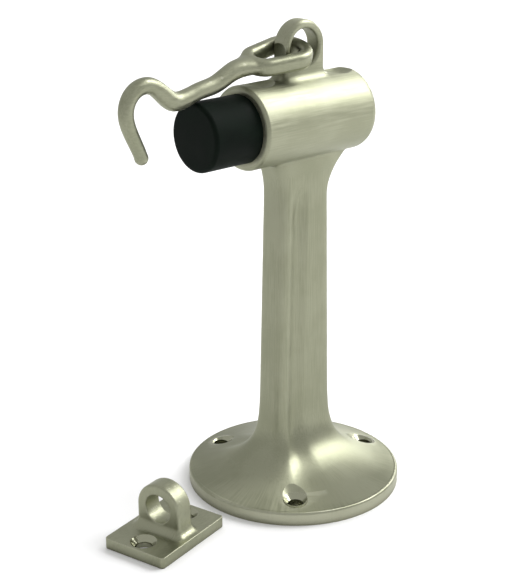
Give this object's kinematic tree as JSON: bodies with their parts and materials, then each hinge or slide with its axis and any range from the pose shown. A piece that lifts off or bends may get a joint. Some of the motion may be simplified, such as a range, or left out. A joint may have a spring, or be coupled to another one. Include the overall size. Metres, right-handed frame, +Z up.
{
  "type": "floor door holder",
  "caption": "Floor-mounted door stop post with a rubber bumper in a barrel head, a swinging hook on top and a separate screw-down strike eye for the hook.",
  "frame": {"origin": "centre of the base flange's underside, on the floor", "axes": "+Z up along the post, -Y the way the bumper points, X along the bore of the lug on the head"},
  "size_m": [0.07, 0.1106, 0.153],
  "materials": {
    "satin_nickel": "satin",
    "black_rubber": "matte"
  },
  "bodies": {
    "post_body": {"post": "satin_nickel", "bumper": "black_rubber"},
    "hook_body": {"hook": "satin_nickel"},
    "strike_body": {"strike": "satin_nickel"}
  },
  "joints": [
    {"name": "hook_swing", "type": "hinge", "parent": "post_body", "child": "hook_body", "pos_m": [0, 0.00168, 0.14376], "axis": [-1, 0, 0], "range_deg": [0, 185]},
    {"name": "strike_lift", "type": "slide", "parent": "post_body", "child": "strike_body", "axis": [0, 0, 1], "range_m": [0, 0.08]}
  ]
}
